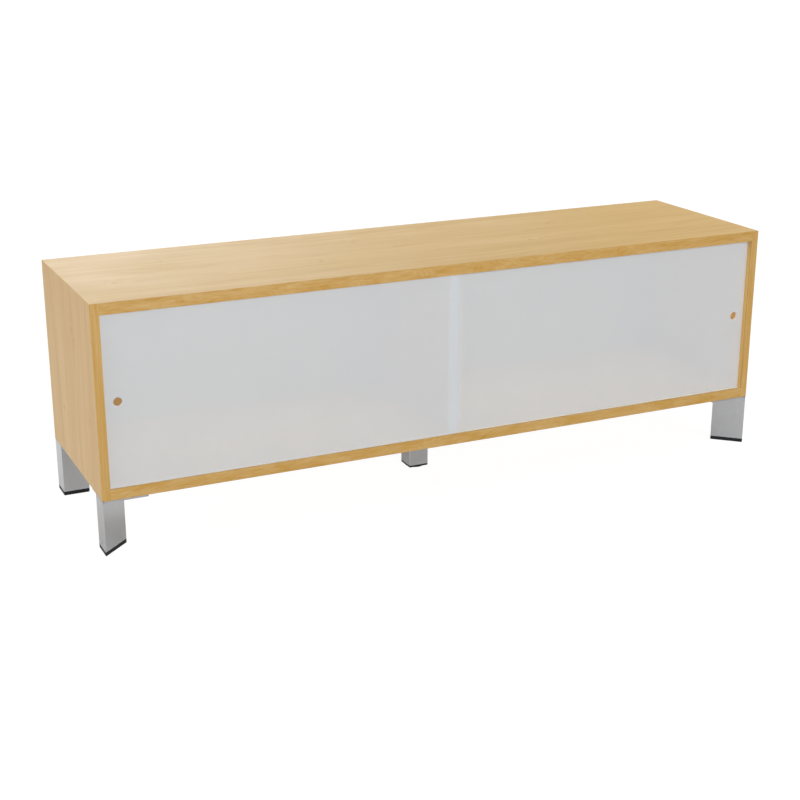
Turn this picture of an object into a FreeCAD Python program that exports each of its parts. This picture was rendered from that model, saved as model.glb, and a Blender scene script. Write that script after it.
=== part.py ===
import FreeCAD, Part
import os
import Sketcher

# A low cabinet with two sliding doors. The wooden body is a box of four boards mitred at the
# corners, edged with solid wood at the front and split by a divider. Two translucent sheets slide
# past each other in twin tracks. Four triangular legs stand under the corners and a square one
# with a height-adjusting glide stands under the middle.
#
# Frame: millimetres, X to the right, Y from the front to the back, Z up. The origin is on the
# floor, in the middle of the cabinet's width and depth.

SIZES = [
    ("cabinet_width", 1600, "over the side boards"),
    ("cabinet_depth", 420, "from the front edging to the back edges of the boards"),
    ("body_height", 412, "wooden body, without the legs"),
    ("leg_height", 120, "floor to the underside of the body"),
    ("top_board", 24, "thickness"),
    ("bottom_board", 24, "thickness"),
    ("side_board", 18, "thickness"),
    ("lipping", 2, "thickness of the solid edging on the front edges"),
    ("arris", 1, "bevel along the outside corners of the body"),
    ("glue_gap", 0.1, "room on each side of a glued or housed piece"),
    ("spline_thick", 4, "loose tongue that locks a mitre"),
    ("spline_width", 14, "across the mitre"),
    ("spline_length", 300, "along the mitre"),
    ("spline_inset", 11, "from the inside corner to the middle of the tongue"),
    ("back_panel", 8, "thickness"),
    ("back_inset", 2, "from the boards' back edges in to the back panel"),
    ("rebate", 9, "lap of the back panel on each board"),
    ("back_hole", 4, "diameter of the back panel's screw holes"),
    ("back_hole_edge", 80, "from the cabinet's side to the first hole of a row"),
    ("divider", 18, "thickness"),
    ("housing", 6, "depth of the divider's housings"),
    ("divider_setback", 3, "from the tracks to the divider"),
    ("door_thick", 5, "sheet of a door"),
    ("door_recess", 5, "from the front of the cabinet to the front door"),
    ("door_overlap", 20, "where the closed doors pass each other"),
    ("door_end_gap", 0.5, "between a closed door and the side board"),
    ("door_engage", 5, "how far a door reaches into the upper slot"),
    ("door_arris", 0.5, "bevel on the edges of a door"),
    ("running_gap", 0.3, "around a sliding piece"),
    ("finger_hole", 18, "diameter"),
    ("hole_inset", 27, "from the outer edge of a door to its finger hole"),
    ("hole_rise", 206, "from the underside of the body to the finger holes"),
    ("track_wall", 1, "outer walls of a track"),
    ("track_web", 1.9, "wall between the two slots of a track"),
    ("track_floor", 1.5, "closed side of a track"),
    ("lower_groove", 6, "depth of the lower track"),
    ("upper_groove", 12, "depth of the upper track, deep enough to lift a door out"),
    ("leg_across", 59, "corner leg along the width"),
    ("leg_deep", 54.5, "corner leg along the depth"),
    ("leg_corner", 1, "rounding of a corner leg's edges"),
    ("leg_wall", 2, "sheet of every leg"),
    ("post_size", 48, "side of the square middle leg"),
    ("post_corner", 2.5, "rounding of the middle leg's edges"),
    ("foot_cap", 9, "visible height of a corner leg's foot cap"),
    ("post_cap", 4.5, "visible height of the middle leg's cap"),
    ("cap_arris", 0.6, "bevel under a foot cap"),
    ("plug", 12, "how far a cap reaches into its leg"),
    ("plug_gap", 0.2, "between a plug and the leg around it"),
    ("plate_size", 95, "side of a mounting plate"),
    ("plate_thick", 4, "mounting plate"),
    ("plate_corner", 4, "rounding of a mounting plate"),
    ("plate_hole", 5, "diameter of a plate's screw holes"),
    ("plate_hole_edge", 13, "from a plate's edge to its outer holes"),
    ("plate_hole_row", 46, "from the cabinet's side to the hole beside a leg"),
    ("plate_hole_side", 30, "from the cabinet's side to the hole behind a leg"),
    ("glide_disc", 44, "diameter of the glide under the middle leg"),
    ("glide_thick", 2.2, "height of the glide's disc"),
    ("glide_stem", 10, "diameter of the threaded stem"),
    ("glide_length", 40, "floor to the end of the stem"),
    ("stem_gap", 0.08, "around the stem"),
]

BACK_HOLE_COLUMNS = 6  # screw holes along the top and along the bottom of the back panel
BACK_HOLE_LEVELS = (0.25, 0.75)  # shares of the inside height where its other holes lie

# Places that several pieces share, as expressions of the sheet's cells.
HALF_WIDTH = "sizes.cabinet_width / 2"
FRONT = "-sizes.cabinet_depth / 2"
BACK = "sizes.cabinet_depth / 2"
BACK_FACE = f"({BACK} - sizes.back_inset)"
UNDERSIDE = "sizes.leg_height"
TOP = "(sizes.leg_height + sizes.body_height)"
INSIDE_HALF = "(sizes.cabinet_width / 2 - sizes.side_board)"
INSIDE_FLOOR = "(sizes.leg_height + sizes.bottom_board)"
INSIDE_CEILING = "(sizes.leg_height + sizes.body_height - sizes.top_board)"
SLOT = "(sizes.door_thick + 2 * sizes.running_gap)"
PITCH = f"({SLOT} + sizes.track_web)"
FRONT_DOOR = f"({FRONT} + sizes.door_recess)"
REAR_DOOR = f"({FRONT_DOOR} + {PITCH})"
TRACK_FRONT = f"({FRONT_DOOR} - sizes.running_gap - sizes.track_wall)"
TRACK_BACK = f"({REAR_DOOR} - sizes.running_gap + {SLOT} + sizes.track_wall)"
DIVIDER_FRONT = f"({TRACK_BACK} + sizes.divider_setback)"
PLATE_UNDER = "(sizes.leg_height - sizes.plate_thick)"
POST_CAP_UNDER = "(sizes.glide_thick + sizes.running_gap)"
POST_FOOT = f"({POST_CAP_UNDER} + sizes.post_cap)"

CORNERS = [("front_left", -1, -1), ("front_right", 1, -1), ("back_left", -1, 1), ("back_right", 1, 1)]

doc = FreeCAD.newDocument("SlidingDoorCabinet")
sheet = doc.addObject("Spreadsheet::Sheet", "sizes")
for row, (alias, size, note) in enumerate(SIZES, start=1):
    sheet.set(f"A{row}", alias)
    sheet.set(f"B{row}", str(size))
    sheet.set(f"C{row}", note)
    sheet.setAlias(f"B{row}", alias)
doc.recompute()

nodes = []


# --- how every piece is drawn ---------------------------------------------------------------


def number(text):
    """The present value of an expression of the sheet's cells."""
    return float(sheet.evalExpression(text))


def new_body(label):
    """A body that becomes one node, named by its label."""
    body = doc.addObject("PartDesign::Body", label)
    body.Label = label
    nodes.append(body)
    return body


def new_sketch(body, plane, offset="0"):
    """A sketch on one of the body's own planes, moved along the plane's normal."""
    sketch = body.newObject("Sketcher::SketchObject", body.Name + "_sketch")
    support = [item for item in body.Origin.OriginFeatures if item.Role == plane][0]
    sketch.AttachmentSupport = [(support, "")]
    sketch.MapMode = "FlatFace"
    sketch.setExpression(".AttachmentOffset.Base.z", offset)
    return sketch


def hold(sketch, kind, places, text):
    """A sketch dimension that follows an expression."""
    index = sketch.addConstraint(Sketcher.Constraint(kind, *places, number(text)))
    sketch.setExpression(f"Constraints[{index}]", text)


def outline(sketch, corners):
    """A closed outline of straight lines through corners given as pairs of expressions."""
    first = len(sketch.Geometry)
    count = len(corners)
    spots = [FreeCAD.Vector(number(across), number(up), 0) for across, up in corners]
    for i in range(count):
        sketch.addGeometry(Part.LineSegment(spots[i], spots[(i + 1) % count]))
    for i, (across, up) in enumerate(corners):
        line = first + i
        following = first + (i + 1) % count
        sketch.addConstraint(Sketcher.Constraint("Coincident", line, 2, following, 1))
        hold(sketch, "DistanceX", (-1, 1, line, 1), across)
        hold(sketch, "DistanceY", (-1, 1, line, 1), up)


def rectangle(sketch, left, right, low, high):
    outline(sketch, [(left, low), (right, low), (right, high), (left, high)])


def circle(sketch, across, up, diameter):
    """A circle with its centre at a pair of expressions."""
    spot = FreeCAD.Vector(number(across), number(up), 0)
    normal = FreeCAD.Vector(0, 0, 1)
    index = sketch.addGeometry(Part.Circle(spot, normal, number(diameter) / 2))
    hold(sketch, "DistanceX", (-1, 1, index, 3), across)
    hold(sketch, "DistanceY", (-1, 1, index, 3), up)
    hold(sketch, "Diameter", (index,), diameter)


def pad(body, sketch, length, backwards=False, both_ways=False):
    """Solid material from a sketch. Backwards runs against the sketch's normal."""
    feature = body.newObject("PartDesign::Pad", body.Name + "_pad")
    feature.Profile = sketch
    feature.SideType = "Symmetric" if both_ways else "One side"
    feature.Reversed = backwards
    feature.setExpression("Length", length)
    doc.recompute()
    return feature


def pocket(body, sketch, depth, backwards=False, both_ways=False):
    """A cut from a sketch, against the sketch's normal, or along it where backwards."""
    before = body.Shape.Volume
    feature = body.newObject("PartDesign::Pocket", body.Name + "_pocket")
    feature.Profile = sketch
    feature.SideType = "Symmetric" if both_ways else "One side"
    feature.Reversed = backwards
    feature.setExpression("Length", depth)
    doc.recompute()
    if body.Shape.Volume >= before:
        raise ValueError(f"a pocket in {body.Label} cuts nothing")
    return feature


def dress(body, kind, size_name, size, wanted):
    """A Fillet (Radius) or Chamfer (Size) on the edges of the body that pass the test."""
    base = body.Tip
    names = [f"Edge{i}" for i, edge in enumerate(base.Shape.Edges, start=1) if wanted(edge)]
    feature = body.newObject("PartDesign::" + kind, body.Name + "_" + kind.lower())
    feature.Base = (base, names)
    feature.setExpression(size_name, size)
    doc.recompute()
    return feature


def bevel(body, size, wanted):
    return dress(body, "Chamfer", "Size", size, wanted)


def rounding(body, radius, wanted):
    return dress(body, "Fillet", "Radius", radius, wanted)


def upright(edge):
    """True for an edge that runs along Z."""
    box = edge.BoundBox
    return box.ZLength > box.XLength + box.YLength


def lies_at(edge, axis, place):
    """True for an edge whose every point has the given X, Y or Z."""
    box = edge.BoundBox
    low = getattr(box, axis + "Min")
    high = getattr(box, axis + "Max")
    return abs(low - place) < 0.001 and abs(high - place) < 0.001


# --- the wooden body ------------------------------------------------------------------------


def mitre_tongue(side, up, board, gap):
    """The four corners, in X and Z, of the tongue across one mitre, widened by a gap.

    The mitre runs from the inside corner to the outside corner of the two boards, so the tongue
    is turned by the same slope as the boards' thicknesses give. Side is -1 on the left, and up
    is -1 on the bottom board.
    """
    inside = INSIDE_CEILING if up > 0 else INSIDE_FLOOR
    length = f"sqrt(sizes.side_board ^ 2 + {board} ^ 2)"
    corners = []
    for out, across in ((-1, -1), (1, -1), (1, 1), (-1, 1)):
        along = f"(sizes.spline_inset + {out} * (sizes.spline_thick / 2 + {gap}))"
        over = f"({across} * (sizes.spline_width / 2 + {gap}))"
        x_shift = f"{side} * ({along} * sizes.side_board - {over} * {board}) / {length}"
        z_shift = f"{up} * ({along} * {board} + {over} * sizes.side_board) / {length}"
        corners.append((f"{side} * {INSIDE_HALF} + {x_shift}", f"{inside} + {z_shift}"))
    return corners


def cut_tongues(body, joints):
    """Slots for the tongues of the given mitres, each a side, an up and the level board."""
    for side, up, board in joints:
        sketch = new_sketch(body, "XZ_Plane")
        outline(sketch, mitre_tongue(side, up, board, "sizes.glue_gap"))
        pocket(body, sketch, "sizes.spline_length + 2 * sizes.glue_gap", both_ways=True)


def cut_rebate(body):
    """The recess at the back that the back panel drops into, the same in all four boards."""
    sketch = new_sketch(body, "XZ_Plane", f"-({BACK})")
    lap = f"({INSIDE_HALF} + sizes.rebate)"
    rectangle(sketch, f"-{lap}", lap, f"{INSIDE_FLOOR} - sizes.rebate", f"{INSIDE_CEILING} + sizes.rebate")
    pocket(body, sketch, "sizes.back_panel + sizes.back_inset", backwards=True)


def level_board(label, board, up, groove):
    """The top board (up is 1) or the bottom board (up is -1), mitred at both ends."""
    body = new_body(label)
    outside = TOP if up > 0 else UNDERSIDE
    inside = INSIDE_CEILING if up > 0 else INSIDE_FLOOR
    share = f"sizes.arris / (sizes.side_board + {board})"
    right = [
        (f"{HALF_WIDTH} - sizes.arris", outside),
        (f"{HALF_WIDTH} - {share} * sizes.side_board", f"{outside} - {up} * {share} * {board}"),
        (INSIDE_HALF, inside),
    ]
    left = [(f"-({across})", level) for across, level in reversed(right)]
    sketch = new_sketch(body, "XZ_Plane", f"-({FRONT} + sizes.lipping)")
    outline(sketch, right + left)
    pad(body, sketch, "sizes.cabinet_depth - sizes.lipping", backwards=True)

    # The twin track's groove, which stops at the side boards.
    sketch = new_sketch(body, "XY_Plane", inside)
    low = f"{TRACK_FRONT} - sizes.glue_gap"
    high = f"{TRACK_BACK} + sizes.glue_gap"
    rectangle(sketch, f"-{INSIDE_HALF}", INSIDE_HALF, low, high)
    pocket(body, sketch, groove, backwards=up > 0)

    # The divider's housing.
    sketch = new_sketch(body, "XY_Plane", inside)
    half = "(sizes.divider / 2 + sizes.glue_gap)"
    front = f"{DIVIDER_FRONT} - sizes.glue_gap"
    rectangle(sketch, f"-{half}", half, front, f"{BACK_FACE} - sizes.back_panel")
    pocket(body, sketch, "sizes.housing", backwards=up > 0)

    cut_rebate(body)
    cut_tongues(body, [(side, up, board) for side in (-1, 1)])


def side_board(label, side):
    """The left side board (side is -1) or the right one, mitred at the top and the bottom."""
    body = new_body(label)
    outside = f"{side} * {HALF_WIDTH}"
    inside = f"{side} * {INSIDE_HALF}"
    top_share = "sizes.arris / (sizes.side_board + sizes.top_board)"
    low_share = "sizes.arris / (sizes.side_board + sizes.bottom_board)"
    top_tip = f"{side} * ({HALF_WIDTH} - {top_share} * sizes.side_board)"
    low_tip = f"{side} * ({HALF_WIDTH} - {low_share} * sizes.side_board)"
    sketch = new_sketch(body, "XZ_Plane", f"-({FRONT} + sizes.lipping)")
    outline(sketch, [
        (outside, f"{UNDERSIDE} + sizes.arris"),
        (outside, f"{TOP} - sizes.arris"),
        (top_tip, f"{TOP} - {top_share} * sizes.top_board"),
        (inside, INSIDE_CEILING),
        (inside, INSIDE_FLOOR),
        (low_tip, f"{UNDERSIDE} + {low_share} * sizes.bottom_board"),
    ])
    pad(body, sketch, "sizes.cabinet_depth - sizes.lipping", backwards=True)
    cut_rebate(body)
    cut_tongues(body, [(side, 1, "sizes.top_board"), (side, -1, "sizes.bottom_board")])


def splines():
    """One loose tongue in each of the four mitres."""
    for level, up, board in (("top", 1, "sizes.top_board"), ("bottom", -1, "sizes.bottom_board")):
        for hand, side in (("left", -1), ("right", 1)):
            body = new_body(f"{level}_{hand}_spline")
            sketch = new_sketch(body, "XZ_Plane")
            outline(sketch, mitre_tongue(side, up, board, "0"))
            pad(body, sketch, "sizes.spline_length", both_ways=True)


def lippings():
    """Solid edging on the four front edges. The upright pieces run from top to bottom."""
    front = number(FRONT)
    for hand, side in (("left", -1), ("right", 1)):
        body = new_body(f"{hand}_lipping")
        inner = number(f"{side} * {INSIDE_HALF}")
        sketch = new_sketch(body, "XZ_Plane", f"-({FRONT})")
        outline(sketch, [
            (f"{side} * {INSIDE_HALF}", UNDERSIDE),
            (f"{side} * ({HALF_WIDTH} - sizes.arris)", UNDERSIDE),
            (f"{side} * {HALF_WIDTH}", f"{UNDERSIDE} + sizes.arris"),
            (f"{side} * {HALF_WIDTH}", f"{TOP} - sizes.arris"),
            (f"{side} * ({HALF_WIDTH} - sizes.arris)", TOP),
            (f"{side} * {INSIDE_HALF}", TOP),
        ])
        pad(body, sketch, "sizes.lipping", backwards=True)
        bevel(body, "sizes.arris", lambda edge: lies_at(edge, "Y", front) and not lies_at(edge, "X", inner))
    for level, low, high in (("top", INSIDE_CEILING, TOP), ("bottom", UNDERSIDE, INSIDE_FLOOR)):
        body = new_body(f"{level}_lipping")
        outer = number(TOP if level == "top" else UNDERSIDE)
        sketch = new_sketch(body, "XZ_Plane", f"-({FRONT})")
        rectangle(sketch, f"-{INSIDE_HALF}", INSIDE_HALF, low, high)
        pad(body, sketch, "sizes.lipping", backwards=True)
        bevel(body, "sizes.arris", lambda edge: lies_at(edge, "Y", front) and lies_at(edge, "Z", outer))


def divider():
    """The board between the two compartments, housed in the top and the bottom board."""
    body = new_body("centre_divider")
    sketch = new_sketch(body, "XY_Plane", f"{INSIDE_FLOOR} - sizes.housing")
    half = "sizes.divider / 2"
    rectangle(sketch, f"-{half}", half, DIVIDER_FRONT, f"{BACK_FACE} - sizes.back_panel")
    pad(body, sketch, f"{INSIDE_CEILING} - {INSIDE_FLOOR} + 2 * sizes.housing")


def back_hole_places():
    """X and Z of the back panel's screw holes, which lead into the boards and the divider."""
    places = []
    step = f"(sizes.cabinet_width - 2 * sizes.back_hole_edge) / {BACK_HOLE_COLUMNS - 1}"
    for level in (f"{INSIDE_FLOOR} - sizes.rebate / 2", f"{INSIDE_CEILING} + sizes.rebate / 2"):
        for i in range(BACK_HOLE_COLUMNS):
            places.append((f"-{HALF_WIDTH} + sizes.back_hole_edge + {i} * {step}", level))
    for share in BACK_HOLE_LEVELS:
        level = f"{INSIDE_FLOOR} + {share} * ({INSIDE_CEILING} - {INSIDE_FLOOR})"
        for side in (-1, 0, 1):
            places.append((f"{side} * ({INSIDE_HALF} + sizes.rebate / 2)", level))
    return places


def drill(body, plane, offset, places, diameter, depth):
    """Round holes at the given places, along the normal of a sketch in the given plane."""
    sketch = new_sketch(body, plane, offset)
    for across, up in places:
        circle(sketch, across, up, diameter)
    pocket(body, sketch, depth, backwards=True)


def back_panel():
    """The back panel, which lies in the rebate of all four boards."""
    body = new_body("back_panel")
    sketch = new_sketch(body, "XZ_Plane", f"-({BACK_FACE})")
    half = f"({INSIDE_HALF} + sizes.rebate - sizes.glue_gap)"
    low = f"{INSIDE_FLOOR} - sizes.rebate + sizes.glue_gap"
    high = f"{INSIDE_CEILING} + sizes.rebate - sizes.glue_gap"
    rectangle(sketch, f"-{half}", half, low, high)
    pad(body, sketch, "sizes.back_panel")
    drill(body, "XZ_Plane", f"-({BACK_FACE})", back_hole_places(), "sizes.back_hole", "sizes.back_panel")


# --- doors and tracks -----------------------------------------------------------------------


def track(label, mouth, inward, groove):
    """A twin track let into a board. Inward is 1 where the slots open downwards."""
    body = new_body(label)
    floor = f"{mouth} + {inward} * ({groove} - sizes.track_floor)"
    back = f"{mouth} + {inward} * {groove}"
    first = f"{TRACK_FRONT} + sizes.track_wall"
    second = f"{first} + {PITCH}"
    sketch = new_sketch(body, "YZ_Plane")
    corners = [(TRACK_FRONT, back), (TRACK_FRONT, mouth)]
    for slot in (first, second):
        corners += [(slot, mouth), (slot, floor), (f"{slot} + {SLOT}", floor), (f"{slot} + {SLOT}", mouth)]
    corners += [(TRACK_BACK, mouth), (TRACK_BACK, back)]
    outline(sketch, corners)
    pad(body, sketch, f"2 * ({INSIDE_HALF} - sizes.glue_gap)", both_ways=True)


def door(label, side, face):
    """A sliding sheet with a round finger hole. Side is -1 for the left door."""
    body = new_body(label)
    outer = f"({INSIDE_HALF} - sizes.door_end_gap)"
    foot = f"{INSIDE_FLOOR} - sizes.lower_groove + sizes.track_floor + sizes.running_gap"
    head = f"{INSIDE_CEILING} + sizes.door_engage"
    sketch = new_sketch(body, "XZ_Plane", f"-({face})")
    rectangle(sketch, f"{side} * {outer}", f"{-side} * sizes.door_overlap / 2", foot, head)
    pad(body, sketch, "sizes.door_thick", backwards=True)
    sketch = new_sketch(body, "XZ_Plane", f"-({face})")
    across = f"{side} * ({outer} - sizes.hole_inset)"
    circle(sketch, across, "sizes.leg_height + sizes.hole_rise", "sizes.finger_hole")
    pocket(body, sketch, "sizes.door_thick")
    front = number(face)
    rear = number(f"{face} + sizes.door_thick")
    bevel(body, "sizes.door_arris", lambda edge: lies_at(edge, "Y", front) or lies_at(edge, "Y", rear))


# --- legs -----------------------------------------------------------------------------------


def triangle(side, end, inset):
    """A corner leg's outline, moved inwards by an inset, seen from the cabinet's corner.

    One side runs along the cabinet's end from the corner, the second stands square to it at
    leg_deep from the corner, and the third slants back to the corner.
    """
    slant = "sqrt(sizes.leg_across ^ 2 + sizes.leg_deep ^ 2)"
    near = (inset, f"{inset} * ({slant} + sizes.leg_deep) / sizes.leg_across")
    square = (inset, f"sizes.leg_deep - {inset}")
    reach = f"sizes.leg_across - {inset} * (sizes.leg_across + {slant}) / sizes.leg_deep"
    far = (reach, f"sizes.leg_deep - {inset}")
    return [(f"{-side} * ({x})", f"{-end} * ({y})") for x, y in (near, square, far)]


def square(half):
    """Corners of a square about the origin, from half its side."""
    return [(f"-({half})", f"-({half})"), (half, f"-({half})"), (half, half), (f"-({half})", half)]


def stand_at(body, side, end):
    """Moves a body drawn about the cabinet's corner to the corner of that side and end."""
    body.setExpression(".Placement.Base.x", f"{side} * sizes.cabinet_width / 2")
    body.setExpression(".Placement.Base.y", f"{end} * sizes.cabinet_depth / 2")
    doc.recompute()


def tube(label, outside, inside, foot, head, corner):
    """An upright tube with rounded edges."""
    body = new_body(label)
    sketch = new_sketch(body, "XY_Plane", foot)
    outline(sketch, outside)
    pad(body, sketch, f"{head} - {foot}")
    rounding(body, corner, upright)
    sketch = new_sketch(body, "XY_Plane", foot)
    outline(sketch, inside)
    pocket(body, sketch, f"{head} - {foot}", backwards=True)
    return body


def foot_cap(label, outside, inside, foot, thick, corner):
    """A plastic cap under a leg, with a plug that fills the tube's end."""
    body = new_body(label)
    sketch = new_sketch(body, "XY_Plane", foot)
    outline(sketch, outside)
    pad(body, sketch, thick)
    rounding(body, corner, upright)
    low = number(foot)
    bevel(body, "sizes.cap_arris", lambda edge: lies_at(edge, "Z", low))
    sketch = new_sketch(body, "XY_Plane", f"{foot} + {thick}")
    outline(sketch, inside)
    pad(body, sketch, "sizes.plug")
    return body


def plate(label, corners, holes):
    """A mounting plate with rounded corners and screw holes."""
    body = new_body(label)
    sketch = new_sketch(body, "XY_Plane", PLATE_UNDER)
    outline(sketch, corners)
    pad(body, sketch, "sizes.plate_thick")
    rounding(body, "sizes.plate_corner", upright)
    drill(body, "XY_Plane", PLATE_UNDER, holes, "sizes.plate_hole", "sizes.plate_thick")
    return body


def corner_plate(side, end):
    """Corners of a corner plate, which fits behind the leg's outer wall."""
    near = "sizes.leg_wall"
    far = "(sizes.leg_wall + sizes.plate_size)"
    corners = [(near, near), (far, near), (far, far), (near, far)]
    return [(f"{-side} * {x}", f"{-end} * {y}") for x, y in corners]


def corner_holes(side, end):
    """Screw holes of a corner plate, all outside the leg's outline."""
    near = "(sizes.leg_wall + sizes.plate_hole_edge)"
    far = "(sizes.leg_wall + sizes.plate_size - sizes.plate_hole_edge)"
    places = [("sizes.plate_hole_row", near), (far, near), (far, far), ("sizes.plate_hole_side", far)]
    return [(f"{-side} * {x}", f"{-end} * {y}") for x, y in places]


def corner_leg(name, side, end):
    """One triangular leg with its cap and plate."""
    outside = triangle(side, end, "0")
    inside = triangle(side, end, "sizes.leg_wall")
    plug = triangle(side, end, "(sizes.leg_wall + sizes.plug_gap)")
    leg = tube(f"{name}_leg", outside, inside, "sizes.foot_cap", UNDERSIDE, "sizes.leg_corner")
    sketch = new_sketch(leg, "XY_Plane", PLATE_UNDER)
    outline(sketch, corner_plate(side, end))
    pocket(leg, sketch, "sizes.plate_thick", backwards=True)
    cap = foot_cap(f"{name}_foot_cap", outside, plug, "0", "sizes.foot_cap", "sizes.leg_corner")
    sheet_plate = plate(f"{name}_plate", corner_plate(side, end), corner_holes(side, end))
    for body in (leg, cap, sheet_plate):
        stand_at(body, side, end)


def middle_leg():
    """The square leg under the middle, with its cap, plate and glide."""
    outside = square("sizes.post_size / 2")
    inside = square("(sizes.post_size / 2 - sizes.leg_wall)")
    plug = square("(sizes.post_size / 2 - sizes.leg_wall - sizes.plug_gap)")
    tube("centre_leg", outside, inside, POST_FOOT, PLATE_UNDER, "sizes.post_corner")
    cap = foot_cap("centre_leg_cap", outside, plug, POST_CAP_UNDER, "sizes.post_cap", "sizes.post_corner")
    sketch = new_sketch(cap, "XY_Plane", POST_CAP_UNDER)
    circle(sketch, "0", "0", "sizes.glide_stem + 2 * sizes.stem_gap")
    pocket(cap, sketch, "sizes.post_cap + sizes.plug", backwards=True)
    holes = square("(sizes.plate_size / 2 - sizes.plate_hole_edge)")
    plate("centre_plate", square("sizes.plate_size / 2"), holes)

    # The glide is turned about its own axis: a disc on the floor and a stem up into the cap.
    glide = new_body("centre_glide")
    sketch = new_sketch(glide, "XZ_Plane")
    stem = "sizes.glide_stem / 2"
    rim = "sizes.glide_disc / 2"
    outline(sketch, [
        ("0", "0"),
        (rim, "0"),
        (rim, "sizes.glide_thick - sizes.cap_arris"),
        (f"{rim} - sizes.cap_arris", "sizes.glide_thick"),
        (stem, "sizes.glide_thick"),
        (stem, "sizes.glide_length - sizes.cap_arris"),
        (f"{stem} - sizes.cap_arris", "sizes.glide_length"),
        ("0", "sizes.glide_length"),
    ])
    turned = glide.newObject("PartDesign::Revolution", "centre_glide_revolution")
    turned.Profile = sketch
    turned.ReferenceAxis = (sketch, ["V_Axis"])
    turned.Angle = 360
    doc.recompute()


# --- the cabinet, piece by piece ------------------------------------------------------------

level_board("top_board", "sizes.top_board", 1, "sizes.upper_groove")
level_board("bottom_board", "sizes.bottom_board", -1, "sizes.lower_groove")
side_board("left_side_board", -1)
side_board("right_side_board", 1)
splines()
lippings()
divider()
back_panel()

track("lower_track", INSIDE_FLOOR, -1, "sizes.lower_groove")
track("upper_track", INSIDE_CEILING, 1, "sizes.upper_groove")
door("left_door", -1, FRONT_DOOR)
door("right_door", 1, REAR_DOOR)

for corner, side, end in CORNERS:
    corner_leg(corner, side, end)
middle_leg()

# --- check and export -----------------------------------------------------------------------

doc.recompute()
for item in doc.Objects:
    if "Invalid" in item.State or "Error" in item.State:
        raise ValueError(f"{item.Name} has failed: {item.State}")
for node in nodes:
    if node.Shape.isNull() or not node.Shape.isValid():
        raise ValueError(f"{node.Label} has no valid shape")

os.makedirs("parts", exist_ok=True)
for node in nodes:
    node.Shape.exportStep(f"parts/{node.Label}.step")
    print(node.Label, len(node.Shape.Solids), round(node.Shape.Volume / 1000, 2), "cm3")
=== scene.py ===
import math

import bmesh
import bpy
import numpy as np
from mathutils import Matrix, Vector


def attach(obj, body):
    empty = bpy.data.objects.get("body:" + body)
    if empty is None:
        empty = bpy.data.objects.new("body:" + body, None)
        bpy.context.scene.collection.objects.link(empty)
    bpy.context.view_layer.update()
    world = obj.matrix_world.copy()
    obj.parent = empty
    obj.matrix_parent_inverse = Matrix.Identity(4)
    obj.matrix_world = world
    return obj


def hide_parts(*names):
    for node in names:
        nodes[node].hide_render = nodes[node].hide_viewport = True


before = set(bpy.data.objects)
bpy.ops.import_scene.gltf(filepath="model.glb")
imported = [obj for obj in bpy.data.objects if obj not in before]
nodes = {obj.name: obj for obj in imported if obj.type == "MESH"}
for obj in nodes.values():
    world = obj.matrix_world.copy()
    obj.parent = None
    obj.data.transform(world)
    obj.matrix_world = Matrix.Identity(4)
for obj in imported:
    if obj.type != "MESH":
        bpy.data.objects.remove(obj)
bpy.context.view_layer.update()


# ---------------------------------------------------------------- veneered boards
# Top, bottom, sides and divider are 24 mm and 18 mm panels, mitred, glued and veneered in pale
# alder, with the grain along the width or upright, under satin lacquer. On the inner faces of the
# sides, in front of the doors, the veneer is painted lighter and more golden, as painted light in
# that shaded recess.


def put(tree, kind, sockets=None, **fields):
    """Adds one node to a tree. fields are the node's own settings, and sockets its inputs: plain
    values, or the outputs of other nodes, which are linked."""
    node = tree.nodes.new("ShaderNode" + kind)
    for field, value in fields.items():
        setattr(node, field, value)
    for socket, value in (sockets or {}).items():
        if isinstance(value, bpy.types.NodeSocket):
            tree.links.new(value, node.inputs[socket])
        else:
            node.inputs[socket].default_value = value
    return node


def calc(tree, operation, *terms, clamp=False):
    """A Math node on up to three terms, each a number or an output."""
    return put(tree, "Math", dict(enumerate(terms)), operation=operation, use_clamp=clamp).outputs[0]


def ramp(tree, value, low, high, to_low=0.0, to_high=1.0):
    """Value eased smoothly from low..high to to_low..to_high and held outside it."""
    sockets = {"Value": value, "From Min": low, "From Max": high, "To Min": to_low, "To Max": to_high}
    return put(tree, "MapRange", sockets, interpolation_type="SMOOTHSTEP").outputs[0]


def cloud(tree, vector, per_metre, detail=2.0, rough=0.5):
    """Noise from 0 to 1 with its own number of features per metre along x, y and z."""
    spread = put(tree, "Mapping", {"Vector": vector, "Scale": per_metre}).outputs[0]
    sockets = {"Vector": spread, "Scale": 1.0, "Detail": detail, "Roughness": rough}
    return put(tree, "TexNoise", sockets).outputs["Fac"]


def distance(tree, spot, place):
    """How far each point is from a place, in metres."""
    return put(tree, "VectorMath", {0: spot, 1: place}, operation="DISTANCE").outputs["Value"]


def tint(tree, factor, first, second):
    """A colour that goes from first to second as factor goes from 0 to 1."""
    return put(tree, "Mix", {0: factor, 6: first, 7: second}, data_type="RGBA").outputs[2]


def new_group(name, inputs, outputs):
    """An empty node group. inputs and outputs are pairs of a socket's name and its kind."""
    group = bpy.data.node_groups.new(name, "ShaderNodeTree")
    for label, kind in inputs:
        group.interface.new_socket(label, in_out="INPUT", socket_type="NodeSocket" + kind)
    for label, kind in outputs:
        group.interface.new_socket(label, in_out="OUTPUT", socket_type="NodeSocket" + kind)
    return group, group.nodes.new("NodeGroupInput").outputs, group.nodes.new("NodeGroupOutput").inputs


def new_material(name):
    """A material, its node tree and its Principled shader."""
    material = bpy.data.materials.new(name)
    material.use_nodes = True
    return material, material.node_tree, material.node_tree.nodes["Principled BSDF"]


def dress(names, material):
    """Puts the material on those solids of the frame."""
    for name in names:
        nodes[name].material_slots[0].material = material


LINES_PER_METRE, LINE_WANDER = 38.0, 13.0
KNOT_WIDTH, KNOT_LIFT, KNOT_CORE = 0.017, 1.7, (0.0015, 0.0075)


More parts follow.
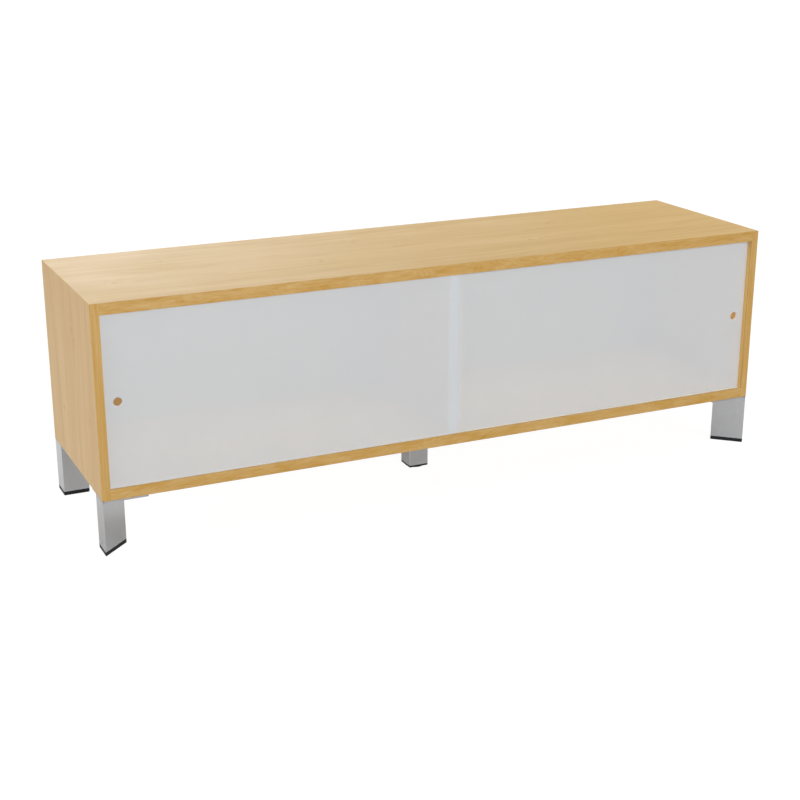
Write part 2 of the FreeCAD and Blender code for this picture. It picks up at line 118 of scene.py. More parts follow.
def wood_figure():
    """Figure of sawn wood with its grain along X. Growth lines are the contours of the distance
    across the board plus a slow wander, which bends them to flames, plus a bell round each knot,
    which closes them to rings. Over them lie broad bands, fine fibres and short dark pores."""
    group, given, sent = new_group(
        "wood_figure",
        [("Vector", "Vector"), ("Knot Distance", "Float"), ("Pale", "Color"), ("Dark", "Color"),
         ("Bands", "Float"), ("Lines", "Float"), ("Fibres", "Float"), ("Pores", "Float")],
        [("Color", "Color"), ("Unevenness", "Float"), ("Height", "Float")],
    )
    at = given["Vector"]
    x, y, z = put(group, "SeparateXYZ", {0: at}).outputs
    across = calc(group, "MULTIPLY_ADD", z, 0.8, y)
    wander = cloud(group, at, (1.1, 7, 7), 2.0, 0.45)
    reach = calc(group, "DIVIDE", given["Knot Distance"], KNOT_WIDTH)
    bell = calc(group, "EXPONENT", calc(group, "MULTIPLY", calc(group, "POWER", reach, 2.0), -1.0))
    wander = calc(group, "MULTIPLY", wander, LINE_WANDER)
    phase = calc(group, "MULTIPLY_ADD", across, LINES_PER_METRE, wander)
    phase = calc(group, "FRACT", calc(group, "MULTIPLY_ADD", bell, KNOT_LIFT, phase))
    line = calc(group, "POWER", phase, 2.2)
    line = calc(group, "MULTIPLY", line, ramp(group, phase, 0.88, 1.0, 1.0, 0.0))
    broad = calc(group, "SUBTRACT", cloud(group, at, (1.6, 21, 21), 2.5, 0.55), 0.5)
    narrow = calc(group, "SUBTRACT", cloud(group, at, (5, 95, 95), 2.0, 0.5), 0.5)
    fibre = calc(group, "SUBTRACT", cloud(group, at, (24, 820, 820), 3.0, 0.6), 0.5)
    pore = ramp(group, cloud(group, at, (190, 2600, 2600), 1.0, 0.5), 0.64, 0.74)
    core = ramp(group, given["Knot Distance"], *KNOT_CORE, 1.0, 0.0)

    shade = calc(group, "MULTIPLY_ADD", broad, given["Bands"], 0.5)
    shade = calc(group, "MULTIPLY_ADD", narrow, calc(group, "MULTIPLY", given["Bands"], 0.6), shade)
    shade = calc(group, "MULTIPLY_ADD", calc(group, "SUBTRACT", line, 0.25), given["Lines"], shade)
    shade = calc(group, "MULTIPLY_ADD", fibre, given["Fibres"], shade)
    shade = calc(group, "MULTIPLY_ADD", pore, given["Pores"], shade)
    shade = calc(group, "MULTIPLY_ADD", core, 0.9, shade, clamp=True)
    group.links.new(tint(group, shade, given["Pale"], given["Dark"]), sent["Color"])
    group.links.new(calc(group, "ADD", fibre, calc(group, "MULTIPLY", broad, 0.5)), sent["Unevenness"])
    height = calc(group, "MULTIPLY_ADD", pore, -0.8, fibre)
    group.links.new(calc(group, "MULTIPLY_ADD", core, 0.5, height), sent["Height"])
    return group


WOOD_FIGURE = wood_figure()


def wood(name, turn, pale, dark, knots=(), bands=0.85, lines=0.25, fibres=0.3, pores=0.12,
         rough=0.5, relief=0.00004, stretch=(1, 1, 1)):
    """Sawn wood. turn lays the grain, which the figure has along X, and knots are points in the
    frame, in metres. bands, lines, fibres and pores are the strengths of those marks, and stretch
    above 1 makes them shorter or narrower. rough is the lacquer's mean roughness and relief the
    depth of its bump."""
    material, tree, shader = new_material(name)
    spot = put(tree, "TexCoord").outputs["Object"]
    grain = put(tree, "Mapping", {"Vector": spot, "Rotation": turn, "Scale": stretch}).outputs[0]
    near = 1.0
    for place in knots:
        near = calc(tree, "MINIMUM", distance(tree, spot, place), near)
    sockets = {"Vector": grain, "Knot Distance": near, "Pale": (*pale, 1), "Dark": (*dark, 1),
               "Bands": bands, "Lines": lines, "Fibres": fibres, "Pores": pores}
    figure = put(tree, "Group", sockets, node_tree=WOOD_FIGURE)
    wiped = cloud(tree, spot, (6, 6, 6), 2.0, 0.5)
    sheen = calc(tree, "MULTIPLY_ADD", figure.outputs["Unevenness"], 0.16, rough - 0.05)
    sheen = calc(tree, "MULTIPLY_ADD", wiped, 0.1, sheen)
    bump = put(tree, "Bump", {"Height": figure.outputs["Height"], "Distance": relief})
    tree.links.new(figure.outputs["Color"], shader.inputs["Base Color"])
    tree.links.new(sheen, shader.inputs["Roughness"])
    tree.links.new(bump.outputs[0], shader.inputs["Normal"])
    return material


def recolour(material, share, first, second):
    """Takes a wood's pale and dark colours from the first pair to the second as share goes from 0
    to 1."""
    tree = material.node_tree
    figure = next(node for node in tree.nodes if node.type == "GROUP")
    for socket, one, other in zip(("Pale", "Dark"), first, second):
        tree.links.new(tint(tree, share, (*one, 1), (*other, 1)), figure.inputs[socket])


ALONG_WIDTH = (0.0, 0.0, 0.0)
UPRIGHT_SIDE = (0.0, math.pi / 2, 0.0)
UPRIGHT_BACK = (math.pi / 2, 0.0, math.pi / 2)

TOP_FACE, FLOOR_FACE, SIDE_FACE = 0.532, 0.144, 0.8
level_knots = [
    (-0.57, 0.085, TOP_FACE), (-0.12, 0.080, TOP_FACE), (0.395, 0.080, TOP_FACE),
    (-0.71, -0.060, TOP_FACE), (-0.255, -0.060, TOP_FACE), (0.262, -0.065, TOP_FACE),
    (-0.43, -0.090, FLOOR_FACE), (0.51, 0.070, FLOOR_FACE),
]
upright_knots = [
    (-SIDE_FACE, -0.030, 0.437), (-SIDE_FACE, 0.085, 0.232), (-SIDE_FACE, -0.150, 0.274),
    (SIDE_FACE, 0.060, 0.405), (SIDE_FACE, -0.110, 0.210), (SIDE_FACE, 0.140, 0.290),
]
# Painted sheen: the veneer is painted paler than the lipping, in part for the sheen on the top and sides,
# and the upright veneer is bluer and whiter than the level one, for the white surroundings that the sides
# reflect.
VENEER_AND_SHEEN_PALE, VENEER_AND_SHEEN_DARK = (0.764, 0.513, 0.169), (0.604, 0.349, 0.073)
UPRIGHT_AND_SHEEN_PALE, UPRIGHT_AND_SHEEN_DARK = (0.731, 0.517, 0.266), (0.590, 0.364, 0.143)
level_wood = wood("lacquered_alder_level", ALONG_WIDTH, VENEER_AND_SHEEN_PALE, VENEER_AND_SHEEN_DARK, level_knots)
upright_wood = wood("lacquered_alder_upright", UPRIGHT_SIDE, UPRIGHT_AND_SHEEN_PALE, UPRIGHT_AND_SHEEN_DARK, upright_knots)

# Painted light: in front of the doors the inner faces of the sides take the top's golden tone, without
# the sides' painted sheen, and are painted lighter still against the shade there.
LIT_REVEAL_PALE, LIT_REVEAL_DARK = (0.860, 0.585, 0.215), (0.700, 0.420, 0.115)
REVEAL_SIDE, REVEAL_BACK = 0.79, -0.196
tree = upright_wood.node_tree
x, y, _ = put(tree, "SeparateXYZ", {0: put(tree, "TexCoord").outputs["Object"]}).outputs
inside = calc(tree, "LESS_THAN", calc(tree, "ABSOLUTE", x), REVEAL_SIDE)
lit_reveal_share = calc(tree, "MULTIPLY", calc(tree, "LESS_THAN", y, REVEAL_BACK), inside)
recolour(upright_wood, lit_reveal_share, (UPRIGHT_AND_SHEEN_PALE, UPRIGHT_AND_SHEEN_DARK), (LIT_REVEAL_PALE, LIT_REVEAL_DARK))
dress(["top_board", "bottom_board"], level_wood)
dress(["left_side_board", "right_side_board", "centre_divider"], upright_wood)


# ---------------------------------------------------------------- lippings
# Strips of solid alder, 2 mm thick, are glued over the front edges of the four boards and
# planed flush. Solid wood takes the lacquer darker, and part of the paler look of the veneer beside
# it is painted sheen. Solid wood shows short blotches that the veneer hasn't.

LIP_PALE, LIP_DARK = (0.578, 0.374, 0.140), (0.460, 0.238, 0.026)
BLOTCHES = {"bands": 1.5, "lines": 0.3, "fibres": 0.5, "stretch": (7, 2.5, 2.5)}
level_lipping = wood("solid_alder_level", ALONG_WIDTH, LIP_PALE, LIP_DARK, **BLOTCHES)
upright_lipping = wood("solid_alder_upright", UPRIGHT_SIDE, LIP_PALE, LIP_DARK, **BLOTCHES)
dress(["top_lipping", "bottom_lipping"], level_lipping)
dress(["left_lipping", "right_lipping"], upright_lipping)


# ---------------------------------------------------------------- splines and back panel
# Birch splines are glued across the mitres, inside the corners. The back is an 8 mm veneered
# panel with upright grain, let into a rebate round the boards and screwed to them. Its inner face
# is painted darker, as painted shade inside the cabinet, and its outer face paler, as painted light
# for the little light that reaches it from behind.

BIRCH_PALE, BIRCH_DARK = (0.66, 0.52, 0.33), (0.55, 0.40, 0.22)
raw_birch = wood("raw_birch", UPRIGHT_SIDE, BIRCH_PALE, BIRCH_DARK, rough=0.7, relief=0.0001)
dress(["top_left_spline", "top_right_spline", "bottom_left_spline", "bottom_right_spline"], raw_birch)

# Painted shade on the panel's inner face, painted light on its outer face.
SHADED_BACK_PALE, SHADED_BACK_DARK = (0.530, 0.410, 0.212), (0.415, 0.285, 0.112)
LIT_OUTER_PALE, LIT_OUTER_DARK = (0.80, 0.585, 0.32), (0.66, 0.430, 0.18)
BACK_FACE, BACK_MIDDLE = 0.208, 0.204
back_knots = [(-0.52, BACK_FACE, 0.38), (0.11, BACK_FACE, 0.24), (0.61, BACK_FACE, 0.43),
              (-0.21, 0.2, 0.42)]
back_veneer = wood("lacquered_alder_back", UPRIGHT_BACK, SHADED_BACK_PALE, SHADED_BACK_DARK, back_knots,
                   bands=0.9, lines=0.35, rough=0.55)
tree = back_veneer.node_tree
depth = put(tree, "SeparateXYZ", {0: put(tree, "TexCoord").outputs["Object"]}).outputs[1]
lit_outer_share = calc(tree, "GREATER_THAN", depth, BACK_MIDDLE)
recolour(back_veneer, lit_outer_share, (SHADED_BACK_PALE, SHADED_BACK_DARK), (LIT_OUTER_PALE, LIT_OUTER_DARK))
dress(["back_panel"], back_veneer)


# ---------------------------------------------------------------- door tracks
# Twin-groove tracks of off-white plastic, extruded, sawn to length and pressed into grooves in
# the boards. The die leaves fine lines along them, and the doors carry dust into the grooves.

TRACK_CLEAN, TRACK_DUSTY = (0.84, 0.80, 0.71, 1), (0.66, 0.60, 0.50, 1)

track_plastic, tree, shader = new_material("off_white_track_plastic")
spot = put(tree, "TexCoord").outputs["Object"]
die_lines = cloud(tree, spot, (1.5, 1900, 1900), 2.0, 0.6)
dust = ramp(tree, cloud(tree, spot, (14, 120, 120), 3.0, 0.6), 0.5, 0.75)
tree.links.new(tint(tree, calc(tree, "MULTIPLY", dust, 0.5), TRACK_CLEAN, TRACK_DUSTY),
               shader.inputs["Base Color"])
tree.links.new(calc(tree, "MULTIPLY_ADD", dust, 0.25, 0.38), shader.inputs["Roughness"])
tree.links.new(put(tree, "Bump", {"Height": die_lines, "Distance": 0.00003}).outputs[0],
               shader.inputs["Normal"])
dress(["lower_track", "upper_track"], track_plastic)


# ---------------------------------------------------------------- sliding doors
# Each door is a 5 mm sheet of frosted plastic, sawn and bored for a fingertip. It scatters light
# to the inside, whose corners show faintly through it. Its skin has a fine satin texture, dull
# smears from hands and faint rub lines along the way it slides, and its sawn edges are white.

FACE_ALPHA, SHEET_IOR, EDGE_FACING = 0.68, 1.49, 0.7
SKIN_FIRST, SKIN_SECOND = (0.648, 0.678, 0.706, 1), (0.680, 0.708, 0.735, 1)
SAWN_EDGE = (0.88, 0.86, 0.80, 1)
PASSED_LIGHT, SCATTERED_LIGHT, SHARE_AHEAD = (0.60, 0.60, 0.60, 1), (0.95, 0.95, 0.95, 1), 0.7

door_sheet, tree, shader = new_material("frosted_door_sheet")
spot = put(tree, "TexCoord").outputs["Object"]
shape = put(tree, "NewGeometry").outputs
facing = calc(tree, "ABSOLUTE", put(tree, "SeparateXYZ", {0: shape["True Normal"]}).outputs[1])
edge = calc(tree, "LESS_THAN", facing, EDGE_FACING)
mottle = cloud(tree, spot, (9, 9, 9), 3.0, 0.55)
smear = ramp(tree, cloud(tree, spot, (26, 26, 17), 3.0, 0.6), 0.45, 0.72)
rub = ramp(tree, cloud(tree, spot, (3, 300, 1400), 2.0, 0.6), 0.62, 0.74)
satin = cloud(tree, spot, (1500, 1500, 1500), 2.0, 0.6)
skin = tint(tree, mottle, SKIN_FIRST, SKIN_SECOND)
tree.links.new(tint(tree, edge, skin, SAWN_EDGE), shader.inputs["Base Color"])
gloss = calc(tree, "MULTIPLY_ADD", smear, 0.07, 0.40)
gloss = calc(tree, "MULTIPLY_ADD", edge, 0.2, gloss)
tree.links.new(calc(tree, "MULTIPLY_ADD", rub, 0.08, gloss), shader.inputs["Roughness"])
relief = calc(tree, "MULTIPLY_ADD", rub, -0.5, satin)
tree.links.new(put(tree, "Bump", {"Height": relief, "Distance": 0.00002}).outputs[0],
               shader.inputs["Normal"])
tree.links.new(calc(tree, "MULTIPLY_ADD", edge, 1 - FACE_ALPHA, FACE_ALPHA), shader.inputs["Alpha"])
shader.inputs["IOR"].default_value = SHEET_IOR
rays = put(tree, "LightPath").outputs
through = put(tree, "BsdfTransparent", {"Color": PASSED_LIGHT}).outputs[0]
back = put(tree, "BsdfDiffuse", {"Color": SCATTERED_LIGHT}).outputs[0]
ahead = put(tree, "BsdfTranslucent", {"Color": SCATTERED_LIGHT}).outputs[0]
scattered = put(tree, "MixShader", {0: SHARE_AHEAD, 1: back, 2: ahead}).outputs[0]
scattered = put(tree, "MixShader", {0: shape["Backfacing"], 1: scattered, 2: through}).outputs[0]
lamp_lit = put(tree, "MixShader", {0: rays["Is Shadow Ray"], 1: shader.outputs[0], 2: through}).outputs[0]
all_lit = put(tree, "MixShader", {0: rays["Is Diffuse Ray"], 1: lamp_lit, 2: scattered}).outputs[0]
tree.links.new(all_lit, tree.nodes["Material Output"].inputs["Surface"])
dress(["left_door", "right_door"], door_sheet)


# ---------------------------------------------------------------- legs
# Four corner legs of folded and welded sheet metal, triangular in section, and a square tube in
# the middle, all sprayed satin silver. The spray leaves a fine even speckle and clouds of uneven
# sheen.


def satin_metal(name, pale, dark, rough, speckle, drawn):
    """Metal with a fine speckle of metallic paint, clouds of uneven sheen, and, where drawn is
    above 0, faint lines along the height."""
    material, tree, shader = new_material(name)
    spot = put(tree, "TexCoord").outputs["Object"]
    flake = cloud(tree, spot, (1100, 1100, 1100), 2.0, 0.7)
    uneven = cloud(tree, spot, (16, 16, 10), 3.0, 0.55)
    line = cloud(tree, spot, (900, 900, 5), 2.0, 0.6)
    shade = calc(tree, "MULTIPLY_ADD", calc(tree, "SUBTRACT", flake, 0.5), speckle, uneven, clamp=True)
    tree.links.new(tint(tree, shade, (*pale, 1), (*dark, 1)), shader.inputs["Base Color"])
    dull = calc(tree, "MULTIPLY_ADD", uneven, 0.14, rough - 0.07)
    dull = calc(tree, "MULTIPLY_ADD", flake, 0.08, calc(tree, "ADD", dull, -0.04))
    tree.links.new(calc(tree, "MULTIPLY_ADD", line, drawn * 0.1, dull), shader.inputs["Roughness"])
    height = calc(tree, "MULTIPLY_ADD", line, drawn, calc(tree, "MULTIPLY", flake, 0.6))
    tree.links.new(put(tree, "Bump", {"Height": height, "Distance": 0.00002}).outputs[0],
                   shader.inputs["Normal"])
    shader.inputs["Metallic"].default_value = 1.0
    return material


LEG_PALE, LEG_DARK = (0.556, 0.570, 0.589), (0.494, 0.508, 0.526)
leg_metal = satin_metal("satin_silver_legs", LEG_PALE, LEG_DARK, rough=0.27, speckle=0.5, drawn=0.5)
CORNERS = ["front_left", "front_right", "back_left", "back_right"]
dress([f"{corner}_leg" for corner in CORNERS] + ["centre_leg"], leg_metal)


# ---------------------------------------------------------------- mounting plates
# Square plates of 4 mm zinc-plated steel are welded to the legs' upper ends and screwed to the
# bottom board from below.

PLATE_PALE, PLATE_DARK = (0.44, 0.44, 0.45), (0.34, 0.34, 0.355)
plate_metal = satin_metal("zinc_plated_steel", PLATE_PALE, PLATE_DARK, rough=0.42, speckle=0.9, drawn=0.0)
dress([f"{corner}_plate" for corner in CORNERS] + ["centre_plate"], plate_metal)


# ---------------------------------------------------------------- screws
# Pan-head screws with a cross recess, bright zinc: eighteen round the back panel, and four in
# each plate. Each was driven home and stopped at an angle of its own.


def disc_grid(count):
    """Points of a square grid, u and v from -1 to 1, pressed into the unit disc by
    x = u sqrt(1 - v^2 / 2) and y = v sqrt(1 - u^2 / 2)."""
    u, v = np.meshgrid(np.linspace(-1, 1, count), np.linspace(-1, 1, count), indexing="ij")
    return u * np.sqrt(1 - v * v / 2), v * np.sqrt(1 - u * u / 2)


CROSS_WIDTH, WIDTH_EASE = 0.19, 0.1
CROSS_REACH, REACH_EASE, CROSS_DEPTH = 0.60, 0.14, 0.62


def pan_head(radius, height, count=25):
    """Both sheets of a screw head on the plane z = 0. The upper one is the dome
    height (1 - r^5)^(1/2), less a recess where both the shorter of |x| and |y| is under the
    cross's half width and the longer under its reach. The lower one is flat."""
    x, y = disc_grid(count)
    r = np.minimum(np.hypot(x, y), 1)
    dome = height * np.sqrt(1 - r**5)
    arm = np.clip((CROSS_WIDTH - np.minimum(abs(x), abs(y))) / WIDTH_EASE, 0, 1)
    reach = np.clip((CROSS_REACH - np.maximum(abs(x), abs(y))) / REACH_EASE, 0, 1)
    top = dome - CROSS_DEPTH * height * arm * reach
    return [np.stack([x * radius, y * radius, z], -1) for z in (top, np.zeros_like(x))]


def grid_faces(rows, columns, first):
    """The four corners of each cell of a grid whose points are numbered row by row from first."""
    corner = first + np.arange(rows * columns).reshape(rows, columns)
    cells = [corner[:-1, :-1], corner[1:, :-1], corner[1:, 1:], corner[:-1, 1:]]
    return np.stack(cells, -1).reshape(-1, 4)


def closed_piece(name, sheets, material, body):
    """A closed mesh of grids of points whose rims meet: the points that coincide are merged, and
    the faces are turned outwards."""
    points = np.concatenate([sheet.reshape(-1, 3) for sheet in sheets])
    firsts = np.cumsum([0] + [sheet.shape[0] * sheet.shape[1] for sheet in sheets])
    faces = np.concatenate([grid_faces(*sheet.shape[:2], first) for sheet, first in zip(sheets, firsts)])
    mesh = bpy.data.meshes.new(name)
    mesh.from_pydata(points.tolist(), [], faces.tolist())
    shape = bmesh.new()
    shape.from_mesh(mesh)
    bmesh.ops.remove_doubles(shape, verts=shape.verts, dist=1e-6)
    bmesh.ops.dissolve_degenerate(shape, edges=shape.edges, dist=1e-7)
    bmesh.ops.recalc_face_normals(shape, faces=shape.faces)
    shape.to_mesh(mesh)
    shape.free()
    mesh.polygons.foreach_set("use_smooth", np.ones(len(mesh.polygons), bool))
    mesh.set_sharp_from_angle(angle=math.radians(40))
    mesh.materials.append(material)
    piece = bpy.data.objects.new(name, mesh)
    bpy.context.scene.collection.objects.link(piece)
    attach(piece, body)
    return piece


def screw_heads(name, places, out, radius, height, seed):
    """One piece of like heads. out is the axis that they face along, and each is turned about it
    by an angle of its own."""
    turns = np.random.default_rng(seed).uniform(0, math.pi / 2, len(places))
    z = np.array(out, float)
    x = np.array([1.0, 0.0, 0.0])
    y = np.cross(z, x)
    sheets = []
    for place, turn in zip(places, turns):
        side = x * math.cos(turn) + y * math.sin(turn)
        axes = np.stack([side, np.cross(z, side), z])
        sheets += [sheet @ axes + np.array(place) for sheet in pan_head(radius, height)]
    return closed_piece(name, sheets, screw_zinc, "cabinet")


ZINC_PALE, ZINC_DARK = (0.62, 0.62, 0.63), (0.50, 0.50, 0.515)
screw_zinc = satin_metal("bright_zinc_screws", ZINC_PALE, ZINC_DARK, rough=0.28, speckle=0.4, drawn=0.0)

BACK_HEAD, BACK_ROWS, BACK_REACH = (0.0035, 0.0018), (0.1395, 0.5125), 0.72
BACK_COLUMNS, BACK_HEIGHTS = (-0.7865, 0.0, 0.7865), (0.235, 0.417)
back_places = [(x, BACK_FACE, z) for z in BACK_ROWS for x in np.linspace(-BACK_REACH, BACK_REACH, 6)]
back_places += [(x, BACK_FACE, z) for x in BACK_COLUMNS for z in BACK_HEIGHTS]
screw_heads("back_panel_screws", back_places, (0, 1, 0), *BACK_HEAD, seed=3)

PLATE_FACE, PLATE_HEAD, MIDDLE_OFFSET, HALF_DEPTH = 0.116, (0.0045, 0.0024), 0.0345, 0.21
PLATE_PLACES = [(0.046, 0.015), (0.084, 0.015), (0.084, 0.084), (0.030, 0.084)]
for corner in CORNERS:
    side = -1 if "left" in corner else 1
    end = -1 if "front" in corner else 1
    places = [(side * (SIDE_FACE - x), end * (HALF_DEPTH - y), PLATE_FACE) for x, y in PLATE_PLACES]
    screw_heads(f"{corner}_plate_screws", places, (0, 0, -1), *PLATE_HEAD, seed=len(corner))
middle_places = [(x * MIDDLE_OFFSET, y * MIDDLE_OFFSET, PLATE_FACE) for x in (-1, 1) for y in (-1, 1)]
screw_heads("centre_plate_screws", middle_places, (0, 0, -1), *PLATE_HEAD, seed=11)


# ---------------------------------------------------------------- foot caps and glide
# Black plastic caps are pushed into the legs' lower ends, and a glide with a threaded stem
# screws into the middle one to meet the floor. They are moulded with a spark-eroded grain, and
# the rim that stands on the floor is scuffed grey.

BLACK, SCUFFED = (0.0110, 0.0110, 0.0112, 1), (0.035, 0.034, 0.033, 1)
SCUFF_HEIGHT = (0.0005, 0.0022)

black_plastic, tree, shader = new_material("moulded_black_plastic")
spot = put(tree, "TexCoord").outputs["Object"]
grain = cloud(tree, spot, (1300, 1300, 1300), 3.0, 0.65)
height_up = put(tree, "SeparateXYZ", {0: spot}).outputs[2]
low = ramp(tree, height_up, *SCUFF_HEIGHT, 1.0, 0.0)
scuff = calc(tree, "MULTIPLY", low, ramp(tree, cloud(tree, spot, (180, 180, 900), 3.0, 0.7), 0.5, 0.65))
tree.links.new(tint(tree, scuff, BLACK, SCUFFED), shader.inputs["Base Color"])
tree.links.new(calc(tree, "MULTIPLY_ADD", grain, 0.16, calc(tree, "MULTIPLY_ADD", scuff, 0.2, 0.42)),
               shader.inputs["Roughness"])
tree.links.new(put(tree, "Bump", {"Height": grain, "Distance": 0.00006}).outputs[0],
               shader.inputs["Normal"])
shader.inputs["Specular IOR Level"].default_value = 0.2
dress([f"{corner}_foot_cap" for corner in CORNERS] + ["centre_leg_cap"], black_plastic)

GLIDE_RADIUS, GLIDE_FOOT = 0.022, 0.0022
STEM_RADIUS, STEM_TOP, THREAD_PITCH, THREAD_DEPTH = 0.005, 0.040, 0.0015, 0.0007
STEPS_AROUND, STEPS_OF_RIM, STEPS_PER_PITCH = 49, 7, 6


def threaded_glide():
    """A profile from the middle of the foot's sole to the middle of the stem's end, turned about
    z. On the stem the radius falls by the thread's depth times a triangle wave of
    height / pitch - angle / one turn."""
    around = np.linspace(0, 2 * math.pi, STEPS_AROUND)
    stem = np.arange(GLIDE_FOOT + 0.0006, STEM_TOP - 0.001, THREAD_PITCH / STEPS_PER_PITCH)
    arc = np.linspace(-math.pi / 2, math.pi / 2, STEPS_OF_RIM)
    half = GLIDE_FOOT / 2
    rim = np.stack([GLIDE_RADIUS - half + half * np.cos(arc), half + half * np.sin(arc)], -1)
    profile = np.concatenate([
        [(0, 0), (0.010, 0), (0.018, 0)], rim, [(0.014, GLIDE_FOOT), (STEM_RADIUS + 0.001, GLIDE_FOOT)],
        [(STEM_RADIUS, GLIDE_FOOT + 0.0003)], np.stack([np.full_like(stem, STEM_RADIUS), stem], -1),
        [(STEM_RADIUS - 0.001, STEM_TOP), (0, STEM_TOP)],
    ])
    radius, z = profile[:, :1] + 0 * around, profile[:, 1:] + 0 * around
    turn = z / THREAD_PITCH - around / (2 * math.pi)
    wave = 2 * abs(turn - np.floor(turn) - 0.5)
    threaded = (profile[:, 0] == STEM_RADIUS) & (profile[:, 1] > GLIDE_FOOT + 0.0005)
    radius = radius - THREAD_DEPTH * wave * threaded[:, None]
    return np.stack([radius * np.cos(around), radius * np.sin(around), z], -1)


glide = closed_piece("threaded_glide", [threaded_glide()], black_plastic, "glide")
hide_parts("centre_glide")


# ---------------------------------------------------------------- floor, lamps and world
# A white studio floor without an edge keeps a faint shadow. The legs mirror a painted bright place
# on it behind on the left and a painted pool of light under the left half. Soft lamps stand in
# front, to the left, over the right end and, for the top's sheen, behind. Each compartment holds a
# weak one.

FLOOR_REACH, FLOOR_WHITE, FLOOR_TINT, CAST_BACK = 30.0, 1.12, 0.9, 0.45
SEEN_WHITE, FAR_WHITE, NEAR_REACH, FAR_REACH = 0.84, 0.95, 1.5, 6.0
MIRRORED_WHITE, MIRRORED_BRIGHT, POOL_WHITE = 0.13, 0.60, 0.40
BRIGHT_PLACE, BRIGHT_REACH, OPEN_SIDE = (-1.6, 0.9, 0.0), (0.75, 1.4), (-0.82, -0.77)
POOL_PLACE, POOL_REACH = (-0.33, -0.10, 0.0), (0.24, 0.29)
WORLD_SHOWN, WORLD_LIGHT = 0.85, 0.15

floor_mesh = bpy.data.meshes.new("photo_floor")
floor_corners = [(-1, -1, 0), (1, -1, 0), (1, 1, 0), (-1, 1, 0)]
floor_mesh.from_pydata((np.array(floor_corners) * FLOOR_REACH).tolist(), [], [(0, 1, 2, 3)])
floor = bpy.data.objects.new("photo_floor", floor_mesh)
bpy.context.scene.collection.objects.link(floor)
floor_white, tree, shader = new_material("photo_floor_white")
floor_mesh.materials.append(floor_white)
rays = put(tree, "LightPath").outputs
spot = put(tree, "TexCoord").outputs["Object"]
seen = calc(tree, "MAXIMUM", rays["Is Camera Ray"], rays["Is Transmission Ray"])
from_middle = distance(tree, spot, (0.0, 0.0, 0.0))
fading = ramp(tree, from_middle, NEAR_REACH, FAR_REACH, SEEN_WHITE, FAR_WHITE)
seen = calc(tree, "MULTIPLY", seen, fading)
# Painted light in the floor, seen only by glossy rays: a bright place behind on the left and a pool under
# the left half.
bright = MIRRORED_BRIGHT - MIRRORED_WHITE
bright = ramp(tree, distance(tree, spot, BRIGHT_PLACE), *BRIGHT_REACH, bright, 0.0)
outside = ramp(tree, put(tree, "SeparateXYZ", {0: spot}).outputs[0], *OPEN_SIDE, 1.0, 0.0)
mirrored = calc(tree, "MULTIPLY_ADD", bright, outside, MIRRORED_WHITE)
pool = ramp(tree, distance(tree, spot, POOL_PLACE), *POOL_REACH, POOL_WHITE, 0.0)
mirrored = calc(tree, "ADD", mirrored, pool)
share = calc(tree, "MULTIPLY_ADD", rays["Is Glossy Ray"], mirrored, seen)
cast = ramp(tree, rays["Is Diffuse Ray"], 0.0, 1.0, FLOOR_TINT, CAST_BACK)
plain = put(tree, "BsdfDiffuse", {"Color": cast}).outputs[0]
white = put(tree, "Emission", {"Color": (1, 1, 1, 1), "Strength": FLOOR_WHITE}).outputs[0]
mixed = put(tree, "MixShader", {0: share, 1: plain, 2: white})
tree.nodes.remove(shader)
tree.links.new(mixed.outputs[0], tree.nodes["Material Output"].inputs["Surface"])

world = bpy.data.worlds.new("studio")
world.use_nodes = True
bpy.context.scene.world = world
tree = world.node_tree
backdrop = tree.nodes["Background"]
rays = put(tree, "LightPath").outputs
shown = calc(tree, "MAXIMUM", calc(tree, "MAXIMUM", rays["Is Camera Ray"], rays["Is Glossy Ray"]),
             rays["Is Transmission Ray"])
tree.links.new(calc(tree, "MULTIPLY_ADD", shown, WORLD_SHOWN, WORLD_LIGHT), backdrop.inputs["Strength"])
backdrop.inputs["Color"].default_value = (1, 1, 1, 1)


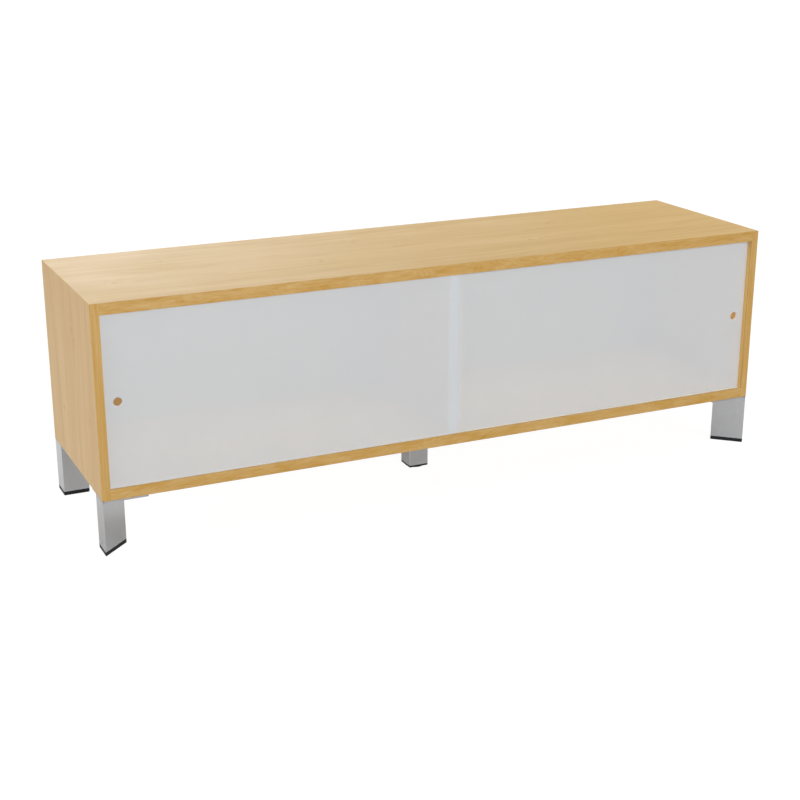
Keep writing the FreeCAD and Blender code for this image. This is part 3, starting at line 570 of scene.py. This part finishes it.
def soft_lamp(name, place, aim, size, watts, spread=math.pi):
    """A rectangular lamp that faces a point, unseen by the camera itself. spread is the angle of
    its beam."""
    lamp = bpy.data.lights.new(name, "AREA")
    lamp.shape, lamp.energy, lamp.spread = "RECTANGLE", watts, spread
    lamp.size, lamp.size_y = size
    holder = bpy.data.objects.new(name, lamp)
    holder.location = place
    holder.rotation_euler = (Vector(aim) - Vector(place)).to_track_quat("-Z", "Y").to_euler()
    holder.visible_camera = False
    bpy.context.scene.collection.objects.link(holder)


BODY, TOP_LEFT, TOP_RIGHT = (0.0, 0.0, 0.35), (-0.5, 0.0, 0.5), (0.4, 0.0, 0.5)
soft_lamp("front_lamp", (-1.0, -9.4, 3.0), BODY, (7.0, 3.6), 677)
soft_lamp("right_lamp", (4.5, -8.0, 3.0), BODY, (5.0, 3.6), 90)
soft_lamp("left_lamp", (-9.0, -0.6, 2.9), BODY, (5.0, 4.0), 420)
soft_lamp("top_lamp", (1.6, 0.1, 2.3), TOP_RIGHT, (1.2, 0.8), 13.5)
for name, x in (("left_inside_lamp", -0.395), ("right_inside_lamp", 0.395)):
    soft_lamp(name, (x, -0.01, 0.507), (x, -0.01, 0.2), (0.74, 0.37), 0.6, math.radians(60))
soft_lamp("sheen_lamp_left", (-0.35, 3.6, 1.35), TOP_LEFT, (1.58, 1.2), 26.5)
soft_lamp("sheen_lamp_middle", (0.91, 3.6, 1.35), TOP_LEFT, (0.95, 1.2), 9.6)
soft_lamp("sheen_lamp_right", (1.86, 3.6, 1.35), TOP_LEFT, (0.95, 1.2), 3.6)


# ---------------------------------------------------------------- camera
# It stands to the left of the cabinet's front at a person's chest height, level in roll, and
# looks down at the doors through a long lens.

CAMERA_PLACE, CAMERA_VIEW = (-1.444, -2.992, 1.2726), (0.40333, 0.85822, -0.31746)
SENSOR_WIDTH, FOCAL_LENGTH = 36.0, 67.18

camera = bpy.data.objects.new("camera", bpy.data.cameras.new("camera"))
camera.data.sensor_width, camera.data.lens = SENSOR_WIDTH, FOCAL_LENGTH
camera.location = CAMERA_PLACE
camera.rotation_euler = Vector(CAMERA_VIEW).to_track_quat("-Z", "Y").to_euler()
bpy.context.scene.collection.objects.link(camera)
bpy.context.scene.camera = camera
bpy.context.scene.view_settings.view_transform = "Standard"
